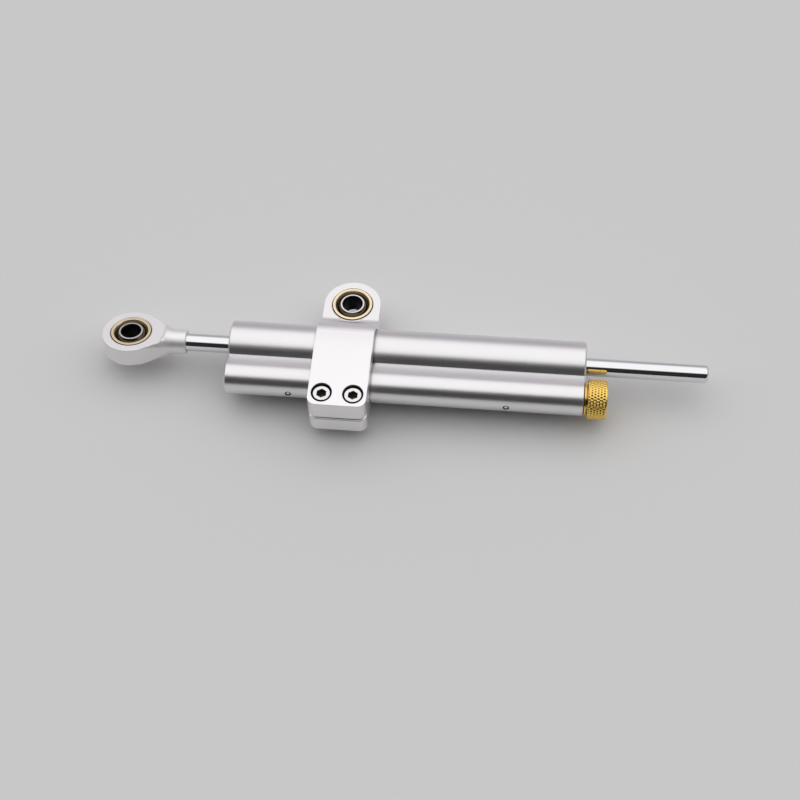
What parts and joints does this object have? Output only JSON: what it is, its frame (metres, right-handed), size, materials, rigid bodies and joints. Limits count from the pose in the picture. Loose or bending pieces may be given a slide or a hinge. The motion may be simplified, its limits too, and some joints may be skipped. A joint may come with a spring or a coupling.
{
  "type": "steering damper",
  "caption": "Linear hydraulic steering damper: twin-bore body, through rod with spherical rod end, sliding body clamp with spherical eye, knurled needle-valve adjuster.",
  "frame": {"origin": "centre of the ball in the body clamp's eye", "axes": "+X along the rod towards its free tip, +Z along the clamp's bolts and the ball's bore, +Y from the body towards the clamp's eye"},
  "size_m": [0.2682, 0.0741, 0.0296],
  "materials": {
    "silver_anodised": "satin, bead blasted and clear anodised",
    "machined_aluminium": "turned",
    "hard_chrome": "polished hard chrome",
    "gold_anodised": "gold anodised, knurled on the knob",
    "brass": "turned brass",
    "bronze_ptfe": "dark bronze-filled sliding material",
    "bearing_steel": "ground steel",
    "bright_steel": "bright zinc plated",
    "black_rubber": "matt black rubber"
  },
  "bodies": {
    "barrel": {"barrel_body": "silver_anodised", "gland_left": "machined_aluminium", "gland_right": "machined_aluminium", "guide_bush_left": "bronze_ptfe", "guide_bush_right": "bronze_ptfe", "rod_seal_left": "black_rubber", "rod_seal_right": "black_rubber", "rod_wiper_left": "black_rubber", "rod_wiper_right": "black_rubber", "gland_oring_left": "black_rubber", "gland_oring_right": "black_rubber", "gland_circlip_left": "bright_steel", "gland_circlip_right": "bright_steel", "port_plugs": "bright_steel", "reservoir_plug": "machined_aluminium", "reservoir_plug_oring": "black_rubber", "reservoir_spring": "bright_steel", "valve_cartridge": "gold_anodised", "valve_orings": "black_rubber", "detent_ball": "bearing_steel", "detent_spring": "bright_steel"},
    "piston": {"piston": "machined_aluminium", "piston_ring": "bronze_ptfe"},
    "rod": {"damper_rod": "hard_chrome", "rod_clips": "bright_steel", "rod_end": "silver_anodised", "rod_end_race": "brass"},
    "rod_end_liner": {"rod_end_liner": "bronze_ptfe"},
    "rod_end_ball": {"rod_end_ball": "bearing_steel"},
    "clamp": {"clamp_bracket": "silver_anodised", "clamp_race": "brass", "clamp_bolts": "bright_steel"},
    "clamp_liner": {"clamp_liner": "bronze_ptfe"},
    "clamp_ball": {"clamp_ball": "bearing_steel"},
    "floating_piston": {"floating_piston": "machined_aluminium", "floating_piston_oring": "black_rubber"},
    "needle_seal": {"needle_oring": "black_rubber"},
    "adjuster": {"valve_needle": "bright_steel", "adjuster_knob": "gold_anodised", "knob_grub_screw": "bright_steel"}
  },
  "joints": [
    {"name": "rod_slide", "type": "slide", "parent": "barrel", "child": "piston", "axis": [1, 0, 0], "range_m": [-0.05, 0.02]},
    {"name": "rod_spin", "type": "hinge", "parent": "piston", "child": "rod", "pos_m": [0, -0.0238, 0], "axis": [1, 0, 0], "continuous": true},
    {"name": "rod_end_tilt", "type": "hinge", "parent": "rod", "child": "rod_end_liner", "pos_m": [-0.0968, -0.0238, 0], "axis": [0, 0.9877, -0.1564], "range_deg": [-12, 12]},
    {"name": "rod_end_ball_spin", "type": "hinge", "parent": "rod_end_liner", "child": "rod_end_ball", "pos_m": [-0.0968, -0.0238, 0], "axis": [0, 0.1564, 0.9877], "continuous": true},
    {"name": "clamp_slide", "type": "slide", "parent": "barrel", "child": "clamp", "axis": [1, 0, 0], "range_m": [-0.0376, 0.091]},
    {"name": "clamp_ball_tilt", "type": "hinge", "parent": "clamp", "child": "clamp_liner", "pos_m": [0, 0, 0], "axis": [0, 1, 0], "range_deg": [-12, 12]},
    {"name": "clamp_ball_spin", "type": "hinge", "parent": "clamp_liner", "child": "clamp_ball", "pos_m": [0, 0, 0], "axis": [0, 0, 1], "continuous": true},
    {"name": "reservoir_float", "type": "slide", "parent": "barrel", "child": "floating_piston", "axis": [1, 0, 0], "range_m": [-0.0015, 0.0015], "stiffness_N_per_m": 800, "deforming": ["reservoir_spring"]},
    {"name": "needle_lift", "type": "slide", "parent": "barrel", "child": "needle_seal", "axis": [1, 0, 0], "range_m": [-0.0006, 0.0015]},
    {"name": "knob_turn", "type": "hinge", "parent": "needle_seal", "child": "adjuster", "pos_m": [0, -0.0412, 0], "axis": [1, 0, 0], "range_deg": [-216, 540]}
  ],
  "couplings": [
    {"joint": "knob_turn", "follows": "needle_lift", "rad_per_m": 6283.2}
  ]
}
